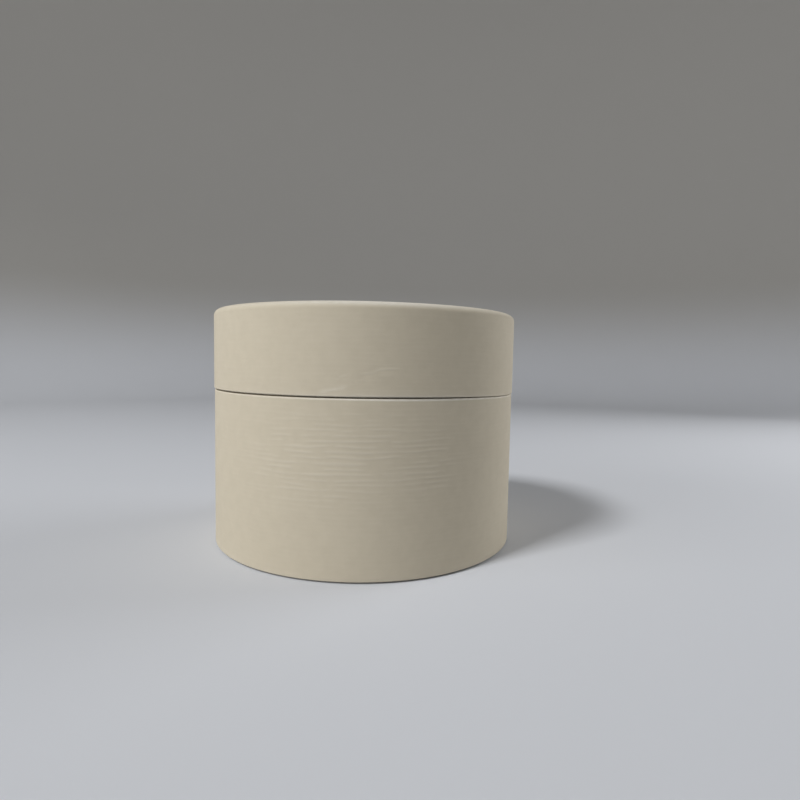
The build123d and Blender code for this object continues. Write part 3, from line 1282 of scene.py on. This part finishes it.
@dataclass(frozen=True)
class Cove:
    """A plain round studio cove: a level floor that curves up into a wall all round."""

    floor_r: float = 520.0
    bend_r: float = 260.0
    top_z: float = 760.0
    rings: tuple[float, ...] = (0.0, 60.0, 150.0, 300.0)  # radii of the floor's rings, up to the bend
    bend_steps: int = 16
    columns: int = 96
    clearance: float = 0.02  # how far the floor lies under the box

    def build(self) -> None:
        """Builds the cove: rings from the middle out, with radius and height along floor, bend and wall."""
        bend = np.radians(np.linspace(-90, 0, self.bend_steps))
        wall_r = self.floor_r + self.bend_r
        radius = np.concatenate((self.rings, self.floor_r + self.bend_r * np.cos(bend), [wall_r]))
        height = np.concatenate((np.zeros(len(self.rings)), self.bend_r * (1 + np.sin(bend)), [self.top_z]))
        angle = np.linspace(0, math.tau, self.columns + 1)[None, :]
        level = (height - self.clearance)[:, None] + 0 * angle
        points = np.stack((radius[:, None] * np.cos(angle), radius[:, None] * np.sin(angle), level), axis=-1)
        index = np.arange(points.shape[0] * points.shape[1]).reshape(points.shape[:2])
        corners = (index[:-1, :-1], index[1:, :-1], index[1:, 1:], index[:-1, 1:])
        faces = np.stack(corners, axis=-1).reshape(-1, 4)
        cove = make_piece("studio_cove", points, points[..., :2], faces, {})
        cove.data.materials.append(StagePaint().material())


def stand(name: str, data: bpy.types.ID, axes: tuple[Array, ...], place: Array) -> Object:
    """Stands a camera or a light in the scene.

    Args:
        name: Its name.
        data: The camera's or the light's data.
        axes: Where its own X, Y and Z axes point.
        place: Where it stands, in millimetres.

    Returns:
        The new object.
    """
    item = bpy.data.objects.new(name, data)
    item.matrix_world = Matrix.Translation(place * MM) @ Matrix(axes).transposed().to_4x4()
    bpy.context.scene.collection.objects.link(item)
    return item


@dataclass(frozen=True)
class PhotoCamera:
    """The photograph's camera, fitted to the outline, the seam and the foot of the box."""

    distance: float = 155.48
    height: float = 47.68
    pitch: float = 0.0701  # radians, downwards
    yaw: float = 0.0623  # radians, to the right
    roll: float = 0.0179
    lens: float = 24.98
    sensor: float = 36.0
    near: float = 4.0
    far: float = 10000.0

    def build(self) -> None:
        """Makes the camera: a level view, turned by the yaw and dipped by the pitch, that then rolls."""
        right = np.array((math.cos(self.yaw), -math.sin(self.yaw), 0.0))
        level = np.array((math.sin(self.yaw), math.cos(self.yaw), 0.0))
        forward = level * math.cos(self.pitch) - np.array((0.0, 0.0, math.sin(self.pitch)))
        up = np.cross(right, forward)
        cos, sin = math.cos(self.roll), math.sin(self.roll)
        data = bpy.data.cameras.new("photo_camera")
        data.lens, data.sensor_width = self.lens, self.sensor
        data.clip_start, data.clip_end = self.near * MM, self.far * MM
        axes = (right * cos + up * sin, up * cos - right * sin, -forward)
        place = np.array((0.0, -self.distance, self.height))
        bpy.context.scene.camera = stand("photo_camera", data, axes, place)


@dataclass(frozen=True)
class Softbox:
    """A square area light that looks at the box."""

    name: str
    azimuth: float  # degrees from +X, seen from above
    elevation: float
    distance: float
    size: float
    power: float
    spread: float = 180.0  # degrees; less when a grid in front keeps its light off the floor beside it
    aim_z: float = 30.0  # height that it looks at

    def build(self) -> None:
        """Makes the light. It sits on a sphere round the box and its own -Z axis points at the middle."""
        azimuth, elevation = math.radians(self.azimuth), math.radians(self.elevation)
        right = np.array((-math.sin(azimuth), math.cos(azimuth), 0.0))
        level = np.array((math.cos(azimuth), math.sin(azimuth), 0.0))
        back = level * math.cos(elevation) + np.array((0.0, 0.0, math.sin(elevation)))
        data = bpy.data.lights.new(self.name, "AREA")
        data.size, data.energy, data.spread = self.size * MM, self.power, math.radians(self.spread)
        place = back * self.distance + np.array((0.0, 0.0, self.aim_z))
        light = stand(self.name, data, (right, np.cross(back, right), back), place)
        light.visible_camera = False


@dataclass(frozen=True)
class Studio:
    """The scene's light: a key high on the left, a low fill beside it, a low panel behind, and the room."""

    lights: tuple[Softbox, ...] = (
        Softbox("key", 218.0, 49.0, 1400.0, 270.0, 11.0),
        Softbox("fill", 205.0, 14.0, 640.0, 400.0, 1.4),
        Softbox("panel", 20.0, 18.0, 560.0, 330.0, 0.48, 100.0),
    )
    room: str = "#323232"

    def build(self) -> None:
        """Makes the lights and the world."""
        for light in self.lights:
            light.build()
        world = bpy.data.worlds.new("room")
        world.use_nodes = True
        tree = world.node_tree
        tree.nodes.clear()
        surface = add(tree, "ShaderNodeBackground", {"Color": linear(self.room), "Strength": 1.0}).outputs[0]
        add(tree, "ShaderNodeOutputWorld", {"Surface": surface})
        bpy.context.scene.world = world
        bpy.context.scene.view_settings.view_transform = "Standard"


def main() -> None:
    """Builds the box, the stage, the lights and the camera."""
    logging.basicConfig(level=logging.INFO, format="%(name)s: %(message)s")
    ribbed, smooth = RibbedPaper().material(), SmoothPaper().material()
    wound, grey = WoundBoard().material(), GreyBoard().material()
    embossing = Embossing()
    base, lid = Base(embossing), Lid(embossing)
    dress(base.wrap(), "base_wrap", Body.BASE, ribbed)
    dress(base.bottom_paper(), "base_bottom_paper", Body.BASE, ribbed)
    dress(base.lining(), "neck_lining", Body.BASE, smooth)
    dress(lid.wrap(), "lid_wrap", Body.LID, ribbed)
    dress(lid.top_paper(), "lid_top_paper", Body.LID, ribbed)
    for name in ("base_floor_paper", "lid_lining", "lid_ceiling_paper"):
        dress_node(name, smooth)
    for name in ("base_tube", "neck_tube", "lid_tube"):
        dress_node(name, wound)
    for name in ("base_bottom_board", "lid_top_board"):
        dress_node(name, grey)
    Cove().build()
    PhotoCamera().build()
    Studio().build()


if __name__ == "__main__":
    main()
